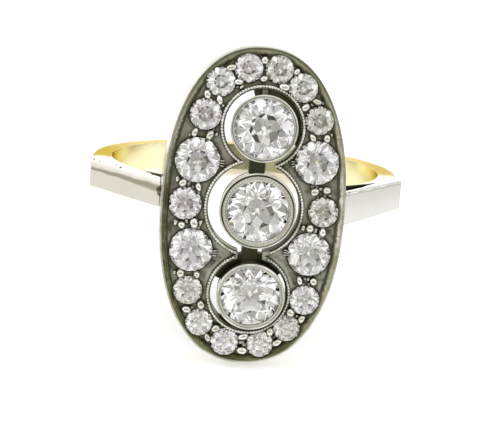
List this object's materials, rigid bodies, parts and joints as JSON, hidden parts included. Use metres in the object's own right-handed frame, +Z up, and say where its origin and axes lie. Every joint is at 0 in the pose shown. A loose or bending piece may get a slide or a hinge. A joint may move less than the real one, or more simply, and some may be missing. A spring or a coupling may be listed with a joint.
{
  "type": "three-stone diamond plaque ring",
  "caption": "Finger ring with an oval pierced plaque: a row of collet-set stones in a halo of smaller stones, white metal shoulders and a gold band.",
  "frame": {"origin": "middle of the ring's box, on the surface that the ring lies on", "axes": "+Z up from the surface, +X across the plaque to the right as seen from the front, the plaque's face towards -Y and tipped upwards"},
  "size_m": [0.02, 0.0228, 0.0184],
  "materials": {
    "white_metal": "polished, worn",
    "setting_metal": "bright cut, with dark recesses",
    "yellow_gold": "polished",
    "diamond": "faceted"
  },
  "bodies": {
    "root": {"shank": "yellow_gold", "shoulder_left": "white_metal", "shoulder_right": "white_metal", "plaque": "setting_metal", "stone_top": "diamond", "stone_middle": "diamond", "stone_bottom": "diamond", "halo_01": "diamond", "halo_02": "diamond", "halo_03": "diamond", "halo_04": "diamond", "halo_05": "diamond", "halo_06": "diamond", "halo_07": "diamond", "halo_08": "diamond", "halo_09": "diamond", "halo_10": "diamond", "halo_11": "diamond", "halo_12": "diamond", "halo_13": "diamond", "halo_14": "diamond", "halo_15": "diamond", "halo_16": "diamond", "halo_17": "diamond", "halo_18": "diamond"}
  },
  "joints": []
}
